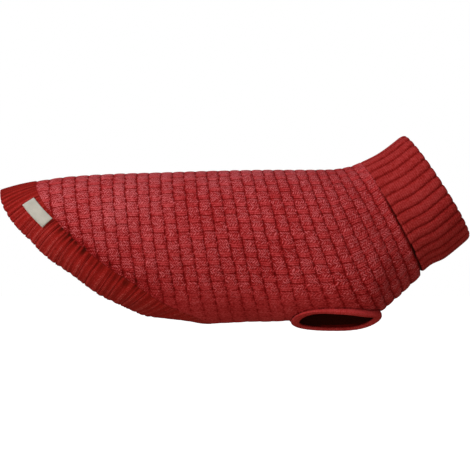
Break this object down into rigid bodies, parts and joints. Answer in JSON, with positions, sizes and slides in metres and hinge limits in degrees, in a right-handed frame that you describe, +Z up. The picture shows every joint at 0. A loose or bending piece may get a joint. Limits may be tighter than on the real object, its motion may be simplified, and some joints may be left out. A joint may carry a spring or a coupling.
{
  "type": "dog sweater",
  "caption": "Knitted dog sweater in basket stitch with a turned-down ribbed collar, ribbed hem band, leg cuffs and a bare woven label, filled out as worn and hollow.",
  "frame": {"origin": "inner face of the back at the withers, on the centre line, where the sweater rests on its wearer", "axes": "+X towards the neck, +Y towards the wearer's left side, +Z up"},
  "size_m": [0.468, 0.12, 0.1938],
  "materials": {
    "body_wool": "matt basket-stitch knit in rose-red yarn",
    "rib_wool": "matt ribbed knit in rose-red yarn",
    "woven_tape": "bare beige woven tape"
  },
  "bodies": {
    "root": {"body_panel": "body_wool", "collar": "rib_wool", "hem_band": "rib_wool", "leg_cuff_right": "rib_wool", "leg_cuff_left": "rib_wool", "label": "woven_tape"}
  },
  "joints": []
}
